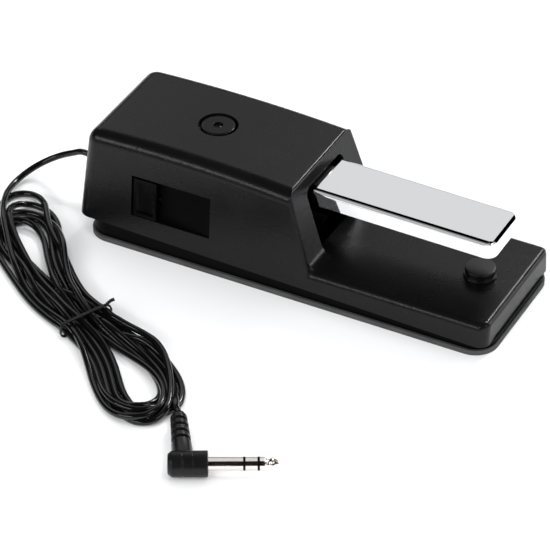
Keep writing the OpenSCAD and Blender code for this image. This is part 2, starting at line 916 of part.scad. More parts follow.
// Turns its children so that their X runs from the barrel up the boot
module at_boot() {
    at_plug() translate([-11, 0, 0]) rotate(90 + boot_lean) children();
}

module plug_body() {
    color([0.05, 0.05, 0.05]) {
        at_plug() spin_x([
            [0, -18.2], [3.8, -18.2], [5.3, -17.3], [6, -15.5], [6, -11.4], [5.75, -11.2],
            [5.75, -10.8], [6, -10.6], [6, -1], [5.3, 0], [0, 0]
        ]);
        at_boot() spin_x([[0, 0], [4.7, 0], [4.7, boot_from], [0, boot_from]]);
    }
}

module plug_boot() {
    ribs = 5;
    pitch = (boot_l + 5 - boot_from) / ribs;
    color([0.06, 0.06, 0.06]) at_boot() translate([boot_from, 0, 0]) spin_x(concat(
        [[0, 0]],
        [
            for (i = [0:ribs - 1], q = [[0, 0], [0.62, 0], [0.7, -0.8], [0.95, -0.8]])
                [4.7 - 0.16 * i + q.y, (i + q.x) * pitch]
        ],
        [[3.2, ribs * pitch], [0, ribs * pitch]]
    ));
}

module plug_sleeve() {
    color("silver") at_plug()
        spin_x([[0, 0], [plug_r, 0], [plug_r, sleeve_l], [0, sleeve_l]]);
}

module plug_insulators() {
    color([0.08, 0.08, 0.08]) at_plug() for (x = [sleeve_l, ring_x[1]])
        spin_x([[0, x], [plug_r, x], [plug_r, x + 1.1], [0, x + 1.1]]);
}

module plug_ring() {
    color("silver") at_plug()
        spin_x([[0, ring_x[0]], [plug_r, ring_x[0]], [plug_r, ring_x[1]], [0, ring_x[1]]]);
}

module plug_tip() {
    x = ring_x[1] + 1.1;
    color("silver") at_plug() spin_x([
        [0, x], [plug_r, x], [plug_r, x + 2.2], [2.1, x + 3.3], [2.1, x + 4.1],
        [2.9, x + 5.2], [2.7, x + 6.2], [1.3, x + 8.2], [0.5, x + 8.9], [0, x + 8.9]
    ]);
}

upper_housing();
bottom_cover();
rubber_sole();
housing_screws();
frame_bracket();
bracket_screws();
pivot_bushes();
up_stop_pad();
pivot_shaft();
shaft_clips();
pedal_arm();
pedal_plate();
plate_screws();
spring_cup_lower();
return_spring();
spring_cup_upper();
pedal_bumper();
bumper_clip();
sector_gear();
sector_screws();
pot_body();
pot_nut();
pot_shaft();
pot_pinion();
circuit_board();
board_screws();
board_connector();
switch_body();
switch_slider();
switch_knob();
top_cap();
top_cap_screw();
cord_grommet();
cord_clamp();
clamp_screws();
inner_cord();
pot_leads();
cord_lead();
cord_hank();
cord_tail();
hank_tie();
plug_boot();
plug_body();
plug_sleeve();
plug_ring();
plug_tip();
plug_insulators();
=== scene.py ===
"""Sustain pedal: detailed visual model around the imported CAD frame. Lengths in the code are in millimetres."""

import json
import math

import bmesh
import bpy
import numpy as np
from mathutils import Matrix, Vector


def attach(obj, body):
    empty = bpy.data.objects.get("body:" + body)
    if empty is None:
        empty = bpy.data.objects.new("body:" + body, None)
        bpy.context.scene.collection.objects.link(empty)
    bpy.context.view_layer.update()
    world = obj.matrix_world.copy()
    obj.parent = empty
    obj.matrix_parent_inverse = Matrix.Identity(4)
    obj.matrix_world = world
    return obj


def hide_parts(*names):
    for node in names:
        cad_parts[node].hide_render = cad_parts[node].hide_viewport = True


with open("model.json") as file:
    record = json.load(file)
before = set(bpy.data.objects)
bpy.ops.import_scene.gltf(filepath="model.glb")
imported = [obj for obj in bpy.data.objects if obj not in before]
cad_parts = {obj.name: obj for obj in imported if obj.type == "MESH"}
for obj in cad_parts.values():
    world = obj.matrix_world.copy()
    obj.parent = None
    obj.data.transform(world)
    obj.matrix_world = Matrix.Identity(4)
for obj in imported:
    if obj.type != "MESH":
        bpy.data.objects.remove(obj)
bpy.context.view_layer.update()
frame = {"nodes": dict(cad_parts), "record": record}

MM = 0.001
PIVOT = Vector((-80, 0, 40))
REST_TILT = math.radians(0.9)

# ---- Camera ----


def make_camera():
    azimuth, elevation, roll = math.radians(27.58), math.radians(36.85), math.radians(-0.13)
    target = Vector((3.14, -47.35, 20)) * MM
    distance = 1.6002
    forward = Vector((
        -math.sin(azimuth) * math.cos(elevation), math.cos(azimuth) * math.cos(elevation), -math.sin(elevation),
    ))
    right = Vector((math.cos(azimuth), math.sin(azimuth), 0))
    up = right.cross(forward)
    turned = right * math.cos(roll) + up * math.sin(roll)
    up = up * math.cos(roll) - right * math.sin(roll)
    data = bpy.data.cameras.new("camera")
    data.sensor_width = 36
    data.lens = 222.87
    data.clip_start = 0.05
    data.clip_end = 50
    camera = bpy.data.objects.new("camera", data)
    axes = Matrix((turned, up, -forward)).transposed()
    camera.matrix_world = Matrix.Translation(target - forward * distance) @ axes.to_4x4()
    bpy.context.scene.collection.objects.link(camera)
    bpy.context.scene.camera = camera


make_camera()

# ---- Cord route ----

CORD_D = 3.2
CORD_STEP = 3.0
BEND_RADIUS = 10.5
HELD = 4  # points that stay put at each end
WAIST = np.array([-69.0, -101.0])
WAIST_HALF, WAIST_TOP = 12, 5.6
HANK_TURN = -41
ALONG = np.array([math.cos(math.radians(HANK_TURN)), math.sin(math.radians(HANK_TURN))])
ACROSS = np.array([-ALONG[1], ALONG[0]])


def waist(v, z):
    """A point of the waist, v mm across it and z above the floor."""
    p = WAIST + v * ACROSS
    return (p[0], p[1], z)


# Lead from the grommet down to the hank's left side
LEAD = [
    (-121, 0, 19), (-125, 0, 19), (-131, 0.8, 18.6), (-137.5, 1.6, 17.6), (-143.5, 1.8, 15.8),
    (-149, 0.2, 13.4), (-153.5, -3.4, 10.8), (-156.6, -9.5, 8.4), (-157, -17, 6.6),
    (-154.6, -26, 5.6), (-150, -35.4, 5.2), (-143.6, -46.2, 5.2),
    (-136.6, -56.6, 5), (-128.4, -67, 5), (-118, -78.5, 5), (-105, -90, 5), (-88, -102, 5),
]
# Each turn: strand down through the waist, front loop, strand back up, rear loop
TURNS = [
    (
        waist(-9, 5.2),
        [(-58, -118.5, 5), (-47, -130, 5), (-36, -142, 5), (-26.5, -150.6, 5.2), (-16, -153.4, 5.6),
         (-7, -148.5, 6), (-8, -137.5, 6.4), (-16.5, -126, 6.6), (-30, -115.5, 6.4), (-48, -106.6, 6)],
        waist(-1.5, 5.4),
        [(-86, -88.5, 6), (-101, -75.5, 6.4), (-116, -62, 6.2), (-126, -51.5, 5.4), (-134.5, -44.5, 4.6),
         (-143, -46.5, 3.4), (-144, -55, 2.6), (-135.5, -65, 1.8), (-122, -75, 1.8), (-104, -84.5, 1.8),
         (-89, -95.4, 2.2)],
    ),
    (
        waist(-6.5, 2.4),
        [(-56, -117, 2), (-42, -131, 1.8), (-29, -143.6, 1.6), (-18, -151.4, 1.6), (-8.6, -153.4, 1.6),
         (-3.4, -147, 2.4), (-5, -136, 3.6), (-11, -125, 4.6), (-21, -112.6, 5.2), (-33, -102.6, 5.4),
         (-48, -95.4, 5.4)],
        waist(9.5, 5.2),
        [(-82, -82, 5.2), (-95, -70.5, 5), (-109, -57.5, 4.6), (-122, -44.6, 4.4), (-134, -32.4, 4),
         (-144, -23.4, 2.8), (-151, -20.6, 1.8), (-155, -26, 1.6), (-151, -36, 1.6), (-143, -47.6, 1.6),
         (-131.4, -62, 1.7), (-117, -77, 1.8), (-101.6, -89.6, 2), (-87, -100, 2.2)],
    ),
    (
        waist(-3, 2.4),
        [(-55, -112, 2.4), (-43, -124, 2.4), (-33, -135.8, 2.6), (-25.5, -144.5, 3),
         (-16.5, -147, 3.8), (-10, -140.5, 4.6), (-14.5, -129.5, 5.6), (-27, -117, 6.4), (-44, -107, 6.4)],
        waist(2.5, 5.4),
        [(-83, -85, 5.4), (-97, -71, 5), (-110, -58.5, 4.8), (-120, -46, 4.6), (-128.5, -38, 4.2),
         (-138, -33.5, 3.6), (-145.5, -39, 3.2), (-145.5, -49.5, 3.6), (-139.5, -61, 3.4), (-130.5, -73, 2),
         (-120, -83.5, 1.7), (-108, -92.6, 1.6), (-96.5, -100, 1.6), (-86, -105.2, 1.8)],
    ),
    (
        waist(-11, 2.4),
        [(-60, -116.4, 2.6), (-46, -128.6, 4.8), (-35, -139, 4.8), (-26, -147, 4.4), (-17, -149.6, 3.8),
         (-9.6, -145, 3), (-9.4, -135, 2.4), (-16, -123.6, 2.2), (-27, -112, 2.4), (-42, -102.4, 2.8)],
        waist(6.5, 2.6),
        [(-84, -83, 2.4), (-98, -68.5, 2), (-112, -55.5, 1.8), (-126, -42.4, 1.7), (-137.4, -32.4, 1.7),
         (-144.4, -29.4, 2.6), (-148.4, -34, 3.4), (-144.6, -42, 4.2), (-135, -55, 4.6),
         (-123, -68.5, 4.8), (-108, -81.5, 5), (-90.6, -93.5, 5)],
    ),
    (
        waist(-5, 5.4),
        [(-55, -110, 5.2), (-42, -120.5, 4), (-31.5, -131.5, 2.6), (-23.5, -141, 1.8), (-14.5, -147, 1.7),
         (-5.5, -143.5, 1.6), (-4.5, -133, 1.7), (-12.5, -120, 1.8), (-25, -108, 2.2), (-41, -99, 2.6)],
        waist(2.2, 2.4),
        [(-82, -88, 2.2), (-95, -77, 1.8), (-108, -65.6, 1.7), (-118, -52, 1.7), (-127, -42.5, 1.7),
         (-137.5, -40.5, 1.7), (-142, -48.5, 2), (-136, -59.5, 2.2), (-121, -70, 2.4), (-101, -79, 2.4),
         (-88, -85.5, 2.4)],
    ),
]
TAIL = [
    waist(10.5, 2.6), (-48, -97, 1.8), (-34, -103.4, 1.7), (-22, -112.4, 1.7), (-13.4, -122.6, 1.7),
    (-7.6, -130.4, 2), (-3.4, -135, 2.9), (0.4, -138.9, 4.4), (2.8, -141.6, 5.5), (5.2, -144.4, 6),
]


def route():
    """The cord's points in their order, from the grommet to the boot."""
    points = list(LEAD)
    for down, front, up, rear in TURNS:
        points += [down, *front, up, *rear]
    return np.array(points + TAIL, float)


def resample(points, step):
    """A smooth curve through points, cut into equal steps."""
    p = np.vstack([2 * points[0] - points[1], points, 2 * points[-1] - points[-2]])
    out = []
    for a, b, c, d in zip(p, p[1:], p[2:], p[3:]):
        for t in np.linspace(0, 1, 12, endpoint=False):
            square, cube = 2 * a - 5 * b + 4 * c - d, 3 * b - a - 3 * c + d
            out.append(0.5 * (2 * b + (c - a) * t + square * t**2 + cube * t**3))
    out.append(points[-1])
    out = np.array(out)
    run = np.concatenate([[0], np.cumsum(np.linalg.norm(np.diff(out, axis=0), axis=1))])
    n = int(round(run[-1] / step))
    return np.stack([np.interp(np.linspace(0, run[-1], n + 1), run, out[:, k]) for k in range(3)], axis=1)


def stiffen(x, step, free):
    """Pulls the steps towards their length, and opens bends that are tighter than BEND_RADIUS."""
    for s in (1, 2, 3):
        off = x[s:-s] - 0.5 * (x[: -2 * s] + x[2 * s:])
        size = np.linalg.norm(off, axis=1, keepdims=True) + 1e-9
        excess = off * np.maximum(size - (s * step) ** 2 / (2 * BEND_RADIUS), 0) / size
        move = np.zeros_like(x)
        move[s:-s] -= 0.3 * excess
        move[: -2 * s] += 0.15 * excess
        move[2 * s:] += 0.15 * excess
        x = x + free * move
    d = x[1:] - x[:-1]
    l = np.linalg.norm(d, axis=1, keepdims=True) + 1e-9
    move = np.zeros_like(x)
    move[:-1] += 0.35 * d * (l - step) / l
    move[1:] -= 0.35 * d * (l - step) / l
    return x + free * move


def settle(x, step, rounds=300):
    """Lays the cord down: strands push each other apart, above the floor and inside the tie."""
    n = len(x)
    home = x.copy()
    free = np.ones((n, 1))
    free[:HELD] = 0
    free[-HELD:] = 0
    index = np.arange(n)
    far = np.triu(np.abs(index[:, None] - index[None, :]) > 4)
    apart = CORD_D * 1.01
    for k in range(rounds):
        # pulled home less and less, and down a little
        late = k / (rounds - 1)
        x = x + free * (0.05 * (1 - late) ** 2 + 0.0005) * (home - x)
        x[:, 2] -= 0.03 * free[:, 0]
        # fairing that keeps the loops' size
        for s in (3, 2, 1):
            for w in (0.30, -0.305):
                mid = 0.5 * (x[:-2 * s] + x[2 * s:]) - x[s:-s]
                x[s:-s] += w * mid * free[s:-s]
        # strands push each other apart
        if k % 4 == 0:
            d2 = ((x[:, None, :] - x[None, :, :]) ** 2).sum(2)
            i, j = np.nonzero((d2 < (CORD_D + 3) ** 2) & far)
        for _ in range(5):
            d = x[i] - x[j]
            l = np.linalg.norm(d, axis=1, keepdims=True) + 1e-6
            c = 0.5 * d / l * np.maximum(apart - l, 0)
            move = np.zeros_like(x)
            count = np.ones(n)
            np.add.at(move, i, c)
            np.add.at(move, j, -c)
            hit = l[:, 0] < apart
            np.add.at(count, i[hit], 0.5)
            np.add.at(count, j[hit], 0.5)
            x = x + free * move / count[:, None] * 1.4
        for _ in range(4):
            x = stiffen(x, step, free)
        # tie and floor
        u = (x[:, :2] - WAIST) @ ALONG
        v = (x[:, :2] - WAIST) @ ACROSS
        near = np.abs(u) < 4
        x[near, :2] += (np.clip(v, -WAIST_HALF, WAIST_HALF) - v)[near, None] * ACROSS[None, :]
        x[near, 2] = np.minimum(x[near, 2], WAIST_TOP)
        low = np.where(np.abs(u) < 2.5, CORD_D / 2 + 0.9, CORD_D / 2)
        x[:, 2] = np.maximum(x[:, 2], low)
    return x


# ---- Building helpers ----


def place(data, name):
    obj = bpy.data.objects.new(name, data)
    bpy.context.scene.collection.objects.link(obj)
    return obj


def mesh_object(name, verts, faces, where=Matrix()):
    """A mesh from points in millimetres."""
    mesh = bpy.data.meshes.new(name)
    mesh.from_pydata([(where @ Vector(v)) * MM for v in verts], [], faces)
    bm = bmesh.new()
    bm.from_mesh(mesh)
    bmesh.ops.recalc_face_normals(bm, faces=bm.faces)
    bm.to_mesh(mesh)
    bm.free()
    return place(mesh, name)


def apply_modifiers(obj):
    """Replaces the object's mesh by what its modifiers make of it."""
    graph = bpy.context.evaluated_depsgraph_get()
    mesh = bpy.data.meshes.new_from_object(obj.evaluated_get(graph), depsgraph=graph)
    obj.modifiers.clear()
    obj.data = mesh


def smooth(obj, angle=35):
    """Smooth shading with face-weighted normals and creases above the angle."""
    for polygon in obj.data.polygons:
        polygon.use_smooth = True
    obj.data.set_sharp_from_angle(angle=math.radians(angle))
    weighted = obj.modifiers.new("weighted", "WEIGHTED_NORMAL")
    weighted.keep_sharp = True
    weighted.weight = 60


def end_to_end(n):
    """Faces of a solid that has n points on each of its two ends."""
    ends = [list(range(n)), list(range(2 * n - 1, n - 1, -1))]
    return ends + [[i, n + i, n + (i + 1) % n, (i + 1) % n] for i in range(n)]


def prism(name, outline, half):
    """Solid with an outline of (x, z) points, from -half(z) to half(z) along y."""
    verts = [(x, s * half(z), z) for s in (-1, 1) for x, z in outline]
    return mesh_object(name, verts, end_to_end(len(outline)))


def extruded(name, outline, low, high, where=Matrix()):
    """Solid with an outline of (x, y) points, from z low to z high."""
    verts = [(x, y, z) for z in (low, high) for x, y in outline]
    return mesh_object(name, verts, end_to_end(len(outline)), where)


def round_edges(obj, radius_of, segments=8):
    """Rounds each edge by radius_of(a, b), in millimetres, for its end points a and b."""
    mesh = obj.data
    weight = mesh.attributes.new("bevel_weight_edge", "FLOAT", "EDGE")
    widest = 12
    for edge in mesh.edges:
        a, b = (mesh.vertices[k].co / MM for k in edge.vertices)
        weight.data[edge.index].value = radius_of(a, b) / widest
    bevel = obj.modifiers.new("round", "BEVEL")
    bevel.limit_method = "WEIGHT"
    bevel.width = widest * MM
    bevel.segments = segments
    bevel.use_clamp_overlap = False
    apply_modifiers(obj)
    left = obj.data.attributes.get("bevel_weight_edge")
    if left:
        obj.data.attributes.remove(left)


def soften(obj, width, angle=40, segments=3):
    """A small round on every edge that is sharper than the angle."""
    bevel = obj.modifiers.new("soften", "BEVEL")
    bevel.limit_method = "ANGLE"
    bevel.angle_limit = math.radians(angle)
    bevel.width = width * MM
    bevel.segments = segments
    bevel.miter_outer = "MITER_ARC"
    apply_modifiers(obj)


def combine(obj, other, operation="DIFFERENCE"):
    boolean = obj.modifiers.new("boolean", "BOOLEAN")
    boolean.operation = operation
    boolean.solver = "EXACT"
    boolean.object = other
    apply_modifiers(obj)
    bpy.data.objects.remove(other)


def spin(degrees, axis):
    return Matrix.Rotation(math.radians(degrees), 4, axis)


def at_angle(cx, cy, radius, angle):
    return (cx + radius * math.cos(angle), cy + radius * math.sin(angle))


def circle(radius, n=64, centre=(0, 0)):
    return [at_angle(*centre, radius, 2 * math.pi * k / n) for k in range(n)]


def arc(cx, cy, radius, start, end, n):
    """Points from the start angle to the end angle, in degrees."""
    return [at_angle(cx, cy, radius, math.radians(start + (end - start) * k / n)) for k in range(n + 1)]


def quarters(corners, radius, n):
    """Rounded outline through four corner centres, the first at the positive end of both axes."""
    return [p for k, (cx, cy) in enumerate(corners) for p in arc(cx, cy, radius, 90 * k, 90 * k + 90, n)]


def rounded_rect(length, width, radius, n=12):
    x, y = length / 2 - radius, width / 2 - radius
    return quarters(((x, y), (-x, y), (-x, -y), (x, -y)), radius, n)


def rectangle(left, low, right, high):
    return [(left, low), (right, low), (right, high), (left, high)]


def fillet(points, radii, n=6):
    """The open profile with each inner corner rounded by its radius."""
    out = [points[0]]
    for k in range(1, len(points) - 1):
        p = Vector(points[k])
        a, b = (Vector(points[k - 1]) - p), (Vector(points[k + 1]) - p)
        radius = radii[k] if isinstance(radii, (list, tuple)) else radii
        turn = a.angle(b, 0)
        reach = min(radius / max(math.tan(turn / 2), 1e-3), 0.49 * a.length, 0.49 * b.length)
        a, b = p + a.normalized() * reach, p + b.normalized() * reach
        if radius <= 0:
            out.append(tuple(p))
            continue
        for i in range(n + 1):
            t = i / n
            out.append(tuple(a.lerp(p, t).lerp(p.lerp(b, t), t)))
    out.append(points[-1])
    return out


def lathe(name, profile, where=Matrix(), segments=64):
    """Turned solid: profile is (radius, height) points from axis to axis, about Z."""
    verts, rings = [], []
    for radius, height in profile:
        if radius < 1e-6:
            rings.append([len(verts)])
            verts.append((0, 0, height))
        else:
            rings.append(list(range(len(verts), len(verts) + segments)))
            verts += [(x, y, height) for x, y in circle(radius, segments)]
    faces = []
    for low, high in zip(rings, rings[1:]):
        for k in range(segments):
            a, b = low[k % len(low)], low[(k + 1) % len(low)]
            c, d = high[(k + 1) % len(high)], high[k % len(high)]
            face = list(dict.fromkeys((a, b, c, d)))
            if len(face) > 2:
                faces.append(face)
    return mesh_object(name, verts, faces, where)


def finish_piece(obj, material, body, slot, *nodes):
    obj.data.materials.clear()
    obj.data.materials.append(material)
    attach(obj, body)
    if nodes:
        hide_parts(*nodes)
    return obj


# ---- Materials ----


def shader(name, color, roughness, metallic=0.0, **sockets):
    material = bpy.data.materials.new(name)
    material.use_nodes = True
    nodes, links = material.node_tree.nodes, material.node_tree.links
    principled = nodes["Principled BSDF"]
    principled.inputs["Base Color"].default_value = (*color, 1)
    principled.inputs["Roughness"].default_value = roughness
    principled.inputs["Metallic"].default_value = metallic
    for socket, value in sockets.items():
        principled.inputs[socket.replace("_", " ")].default_value = value
    return material, nodes, links, principled


def noise(nodes, links, scale, detail=3.0, rough=0.5, stretch=(1, 1, 1)):
    """Noise in the object's own space; scale is in cells per metre."""
    where = nodes.new("ShaderNodeTexCoord")
    mapping = nodes.new("ShaderNodeMapping")
    mapping.inputs["Scale"].default_value = stretch
    links.new(where.outputs["Object"], mapping.inputs["Vector"])
    texture = nodes.new("ShaderNodeTexNoise")
    texture.inputs["Scale"].default_value = scale
    texture.inputs["Detail"].default_value = detail
    texture.inputs["Roughness"].default_value = rough
    links.new(mapping.outputs["Vector"], texture.inputs["Vector"])
    return texture.outputs["Fac"]


def spread(nodes, links, value, low, high, target):
    """Drives target between low and high with a 0 to 1 value."""
    ramp = nodes.new("ShaderNodeMapRange")
    ramp.inputs["From Min"].default_value = 0.3
    ramp.inputs["From Max"].default_value = 0.7
    ramp.inputs["To Min"].default_value = low
    ramp.inputs["To Max"].default_value = high
    links.new(value, ramp.inputs["Value"])
    links.new(ramp.outputs["Result"], target)


def tint(nodes, links, value, low, high, target):
    """Drives a colour target between two colours with a 0 to 1 value."""
    ramp = nodes.new("ShaderNodeValToRGB")
    ramp.color_ramp.elements[0].position = 0.3
    ramp.color_ramp.elements[1].position = 0.7
    ramp.color_ramp.elements[0].color = (*low, 1)
    ramp.color_ramp.elements[1].color = (*high, 1)
    links.new(value, ramp.inputs["Fac"])
    links.new(ramp.outputs["Color"], target)


def bump(nodes, links, principled, *layers):
    """Stacks bump layers, each (height value, strength, depth in mm)."""
    last = None
    for value, strength, depth in layers:
        node = nodes.new("ShaderNodeBump")
        node.inputs["Strength"].default_value = strength
        node.inputs["Distance"].default_value = depth * MM
        links.new(value, node.inputs["Height"])
        if last:
            links.new(last, node.inputs["Normal"])
        last = node.outputs["Normal"]
    links.new(last, principled.inputs["Normal"])


def plastic(name, color, roughness, grain=0.12, grain_size=0.45, waviness=0.05, level=0.3):
    """Moulded plastic: eroded mould grain, slight flow waviness, faint handling marks."""
    material, nodes, links, principled = shader(name, color, roughness, Specular_IOR_Level=level)
    patches = noise(nodes, links, 28, 5, 0.6)
    spread(nodes, links, patches, roughness - 0.04, roughness + 0.06, principled.inputs["Roughness"])
    tint(
        nodes, links, noise(nodes, links, 60, 4),
        [c * 0.88 for c in color], [c * 1.14 for c in color], principled.inputs["Base Color"],
    )
    bump(
        nodes, links, principled,
        (noise(nodes, links, 30, 2), waviness, 0.4),
        (noise(nodes, links, 1000 / grain_size, 2, 0.6), grain, 0.08),
    )
    return material


def rubber(name, color, roughness, grain=0.15, level=0.4):
    """Rubber, or a soft coating: patchy tone and a fine, low grain."""
    material, nodes, links, principled = shader(name, color, roughness, Specular_IOR_Level=level)
    tint(
        nodes, links, noise(nodes, links, 90, 5),
        [c * 0.8 for c in color], [c * 1.25 for c in color], principled.inputs["Base Color"],
    )
    worn = noise(nodes, links, 50, 4)
    spread(nodes, links, worn, roughness - 0.05, roughness + 0.08, principled.inputs["Roughness"])
    bump(nodes, links, principled, (noise(nodes, links, 2600, 3), grain, 0.1))
    return material


def metal(name, color, roughness, marks=0.03, wave=0.0, stretch=(1, 1, 1), grain=0.0):
    """Metal with faint wipe marks in its gloss, and brushing or waviness where asked."""
    material, nodes, links, principled = shader(name, color, roughness, 1.0)
    wiped = noise(nodes, links, 120, 6, 0.6, stretch)
    spread(nodes, links, wiped, roughness, roughness + marks, principled.inputs["Roughness"])
    layers = []
    if wave:
        layers.append((noise(nodes, links, 26, 2), wave, 0.25))
    if grain:
        layers.append((noise(nodes, links, 900, 3, 0.5, stretch), grain, 0.05))
    if layers:
        bump(nodes, links, principled, *layers)
    return material


SHELL = plastic("shell_plastic", (0.0035, 0.0036, 0.0039), 0.26, 1, 1.0, level=0.2)
COVER = plastic("cover_plastic", (0.0012, 0.0012, 0.0013), 0.46, level=0.04)
GLOSS = plastic("smooth_plastic", (0.003, 0.003, 0.0033), 0.25, 0.03, level=0.15)
# painted shade: a darker, barely reflective plastic for the switch recess's faces of the shell
RECESS_PAINTED_SHADE = plastic("recess_painted_shade", (0.002, 0.002, 0.002), 0.35, 0.03, level=0.02)
KNOB = plastic("knob_plastic", (0.0012, 0.0012, 0.0013), 0.28, 0.03, level=0.07)
SOLE = rubber("sole_rubber", (0.05, 0.05, 0.051), 0.6)
BUMPER = rubber("bumper_rubber", (0.0025, 0.0025, 0.0027), 0.28, 0.05)
BOOT = rubber("boot_rubber", (0.005, 0.005, 0.0054), 0.32, 0.06, 0.24)
JACKET = rubber("cord_jacket", (0.003, 0.003, 0.0032), 0.16, 0.02)
CHROME = metal("chrome", (0.88, 0.885, 0.9), 0.03, 0.03, 0.05)
UNDERSIDE = plastic("plate_underside", (0.012, 0.012, 0.012), 0.5, 0.1)
PLUG_METAL = metal("plug_nickel", (0.86, 0.79, 0.75), 0.16, 0.06)
STEEL = metal("plated_steel", (0.6, 0.6, 0.62), 0.28, 0.1, grain=0.1)
ZINC = metal("zinc_steel", (0.52, 0.53, 0.55), 0.36, 0.12, stretch=(1, 14, 1), grain=0.15)
DARK_STEEL = plastic("black_steel", (0.006, 0.006, 0.0065), 0.4, 0.06)
NYLON = plastic("white_nylon", (0.72, 0.71, 0.66), 0.42, 0.04)
FELT = rubber("stop_felt", (0.25, 0.03, 0.03), 0.95, 0.5)
CASE = plastic("sensor_case", (0.05, 0.07, 0.10), 0.3, 0.02)
BOARD = plastic("green_board", (0.02, 0.13, 0.05), 0.35, 0.03)
LEADS = rubber("red_leads", (0.30, 0.02, 0.02), 0.4, 0.03)
TIE = rubber("tie_coating", (0.006, 0.006, 0.0065), 0.3, 0.03)

# Finish of each CAD node that stays
KEPT = {
    "plated_steel": STEEL, "zinc_steel": ZINC, "dark_steel": DARK_STEEL, "white_nylon": NYLON,
    "stop_felt": FELT, "sensor_case": CASE, "green_board": BOARD, "cord_jacket": JACKET,
    "red_leads": LEADS, "tie_coating": TIE, "black_shell": SHELL, "black_cover": COVER,
    "black_gloss": GLOSS, "sole_rubber": SOLE, "black_rubber": BOOT, "chrome_plate": PLUG_METAL,
}
for row in frame["record"]["subparts"]:
    node = frame["nodes"][row["node"]]
    node.data.materials.clear()
    node.data.materials.append(KEPT[row["material_slot"]])

# ---- Housing ----

SOLE_SIZE = (216, 75)
SOLE_TOP = 2.5
TIER_X = 1  # middle of the cover and the sole
SCREWS = [(x, s * y) for x, y in ((-95, 27), (22, 28), (93, 26)) for s in (-1, 1)]
DRAFT_ANGLE = 5.2
DRAFT = math.tan(math.radians(DRAFT_ANGLE))
LEAN = math.tan(math.radians(17))
WALL = 3.2
FRONT_SEAM_Z = 5.3
CORD_Z = 19
CAP_X = -52
TRAY_Z = 17.7
REAR_X, END_X = -111.2, 107.5
CROWN = (-64.6, 59.6)
ARCH_R = 790


def seam_z(x):
    """Height of the housing's lower edge, which rises towards the rear."""
    return FRONT_SEAM_Z + 5.7 * (108 - x) / 216


def side_y(z):
    """Half width of the drafted housing."""
    return 37.2 - (z - FRONT_SEAM_Z) * DRAFT


def roof_z(x):
    return CROWN[1] - (x - CROWN[0]) ** 2 / (2 * ARCH_R)


def front_x(z):
    return 14.6 - (z - TRAY_Z) * LEAN


def housing_outline(inset=0.0):
    """Side outline from the rear foot over the roof and the tray to the front foot."""
    rear, lean = REAR_X + inset, 4.2
    roof = [(x, roof_z(x) - inset) for x in np.linspace(rear + lean, -3, 15)]
    top = (front_x(roof_z(2.7)) - inset, roof_z(2.7) - inset)
    foot = (front_x(TRAY_Z) - inset, TRAY_Z - inset)
    toe = (END_X - inset, TRAY_Z - inset)
    if inset:
        return [(rear, 0), (rear, seam_z(rear)), *roof, top, foot, toe, (END_X - inset, 0)]
    return [(rear, seam_z(rear)), *roof, top, foot, toe, (END_X, seam_z(END_X))]


def darken(obj, material, inside):
    """Gives the faces whose centre is inside(point) the second material."""
    obj.data.materials.append(material)
    for polygon in obj.data.polygons:
        if inside(polygon.center / MM):
            polygon.material_index = 1


def make_housing():
    outline = housing_outline()
    body = prism("housing_shell", outline, side_y)
    roof_end = outline[-4]
    foot, toe = outline[-3], outline[-2]

    def near(p, q):
        return abs(p.x - q[0]) < 0.05 and abs(p.z - q[1]) < 0.05

    def radius_of(a, b):
        across = a.y * b.y < 0
        low, high = sorted((a, b), key=lambda p: p.z)
        if across:
            for corner, radius in ((outline[1], 6.5), (roof_end, 1.2), (foot, 5), (toe, 2.6)):
                if near(a, corner):
                    return radius
            return 0
        if near(low, outline[0]) and near(high, outline[1]):
            return 6.5
        if near(low, foot) and near(high, roof_end):
            return 2.0
        if near(low, outline[-1]) and near(high, toe):
            return 5.5
        if near(a, foot) and near(b, toe) or near(a, toe) and near(b, foot):
            return 3.9
        if min(a.z, b.z) > 50:
            return 6.5
        return 0

    round_edges(body, radius_of, 10)
    cavity = prism("cavity", housing_outline(WALL), lambda z: side_y(z) - WALL)
    combine(body, cavity)
    # seat of the cap
    combine(body, extruded("boss", circle(11.2, 64, (CAP_X, 0)), 53, 57.8), "UNION")
    # ledge over the cover at the rear, and the block behind the switch's recess
    lip = [
        (-110, -33), (-98, -34.8), (-98, -33.2), (-104, -30), (-104, 30), (-98, 33.2), (-98, 34.8), (-110, 33),
    ]
    combine(body, extruded("lip", lip, 11.3, 13.3), "UNION")
    combine(body, extruded("backing", rectangle(-84, -33.5, -35, -29.6), 12, 43.6), "UNION")
    combine(body, extruded("seat", circle(9.7, 96, (CAP_X, 0)), 55.3, 64))
    combine(body, extruded("hole", circle(1.7, 32, (CAP_X, 0)), 50, 60))
    # slot of the lever
    side = [(-18.8, TRAY_Z), (18.8, TRAY_Z)] + arc(14.8, 46.6, 4, 0, 90, 8) + arc(-14.8, 46.6, 4, 90, 180, 8)
    turn = Matrix(((0, 0, 1, 0), (1, 0, 0, 0), (0, 1, 0, 0), (0, 0, 0, 1)))
    combine(body, extruded("slot", side, -3, 34, turn))
    # recess of the slide switch, in the frame of the drafted side
    panel = panel_frame()
    recess = [(-81, -9), (-81, 3.4), (-63.3, 3.4), (-38.3, 0.8), (-38.3, -9)]
    combine(body, extruded("recess", recess, -11, 11, panel))
    # the knob's stem goes through this window
    window = [(-76.7, -1), (-76.7, 9), (-66.3, 9), (-66.3, -1)]
    combine(body, extruded("window", window, -2.8, 2.8, panel))
    # cord hole
    along = Matrix.Translation((-114, 0, CORD_Z)) @ spin(90, "Y")
    combine(body, extruded("entry", circle(4, 48), 0, 14, along))
    soften(body, 0.2, 42, 2)
    smooth(body, 30)
    finish_piece(body, SHELL, "base", "black_shell", "upper_housing")
    back = panel.inverted()

    def in_recess(centre):
        p = back @ centre
        return -81.1 < p.x < -38.2 and 0.12 < p.y < 3.6 and abs(p.z) < 11.1

    # painted shade: the recess faces get the darker, almost unreflective plastic
    darken(body, RECESS_PAINTED_SHADE, in_recess)


